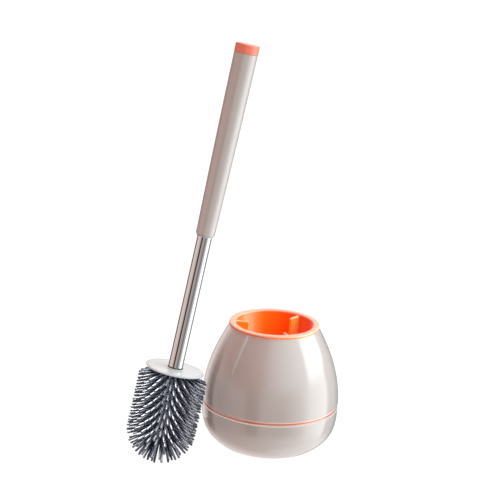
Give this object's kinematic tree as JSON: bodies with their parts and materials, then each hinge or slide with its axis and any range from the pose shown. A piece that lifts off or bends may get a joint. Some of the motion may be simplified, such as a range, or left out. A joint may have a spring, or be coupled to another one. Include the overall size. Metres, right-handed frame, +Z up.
{
  "type": "toilet brush set",
  "caption": "Round two-part pot with a lift-out ribbed liner, and a long-handled toilet brush with a flexible bristle head standing beside it.",
  "frame": {"origin": "on the floor under the middle of the pot, at the centre of the foot pad's flat underside", "axes": "+Z up along the pot's axis, +X to the right and +Y away from the viewer, with the brush standing to the left and in front of the pot"},
  "size_m": [0.1892, 0.1541, 0.3722],
  "materials": {
    "ivory_gloss": "high gloss, warm off-white",
    "coral_gloss": "satin gloss, coral orange",
    "coral_soft": "soft satin, coral orange",
    "white_gloss": "gloss white",
    "slate_silicone": "satin, dark slate blue",
    "dark_rubber": "matt, dark grey",
    "polished_steel": "polished stainless steel"
  },
  "bodies": {
    "base": {"base_bowl": "ivory_gloss", "foot_pad": "dark_rubber", "seam_ring": "coral_gloss"},
    "shell": {"upper_shell": "ivory_gloss"},
    "liner": {"liner": "coral_gloss"},
    "brush_head": {"head_core": "white_gloss", "bristle_sleeve": "slate_silicone", "tube_seal": "dark_rubber"},
    "handle": {"steel_tube": "polished_steel", "tube_plug": "white_gloss", "grip_collar": "white_gloss", "grip": "ivory_gloss", "end_cap": "coral_soft"}
  },
  "joints": [
    {"name": "shell_lift", "type": "slide", "parent": "base", "child": "shell", "axis": [0, 0, 1], "range_m": [0, 0.06]},
    {"name": "liner_lift", "type": "slide", "parent": "shell", "child": "liner", "axis": [0, 0, 1], "range_m": [0, 0.12]},
    {"name": "brush_lift", "type": "slide", "parent": "base", "child": "brush_head", "axis": [0, 0, 1], "range_m": [0, 0.15]},
    {"name": "handle_turn", "type": "hinge", "parent": "brush_head", "child": "handle", "pos_m": [-0.08586, -0.05456, 0.08589], "axis": [0.168, 0.1058, 0.9801], "range_deg": [0, 90]}
  ]
}
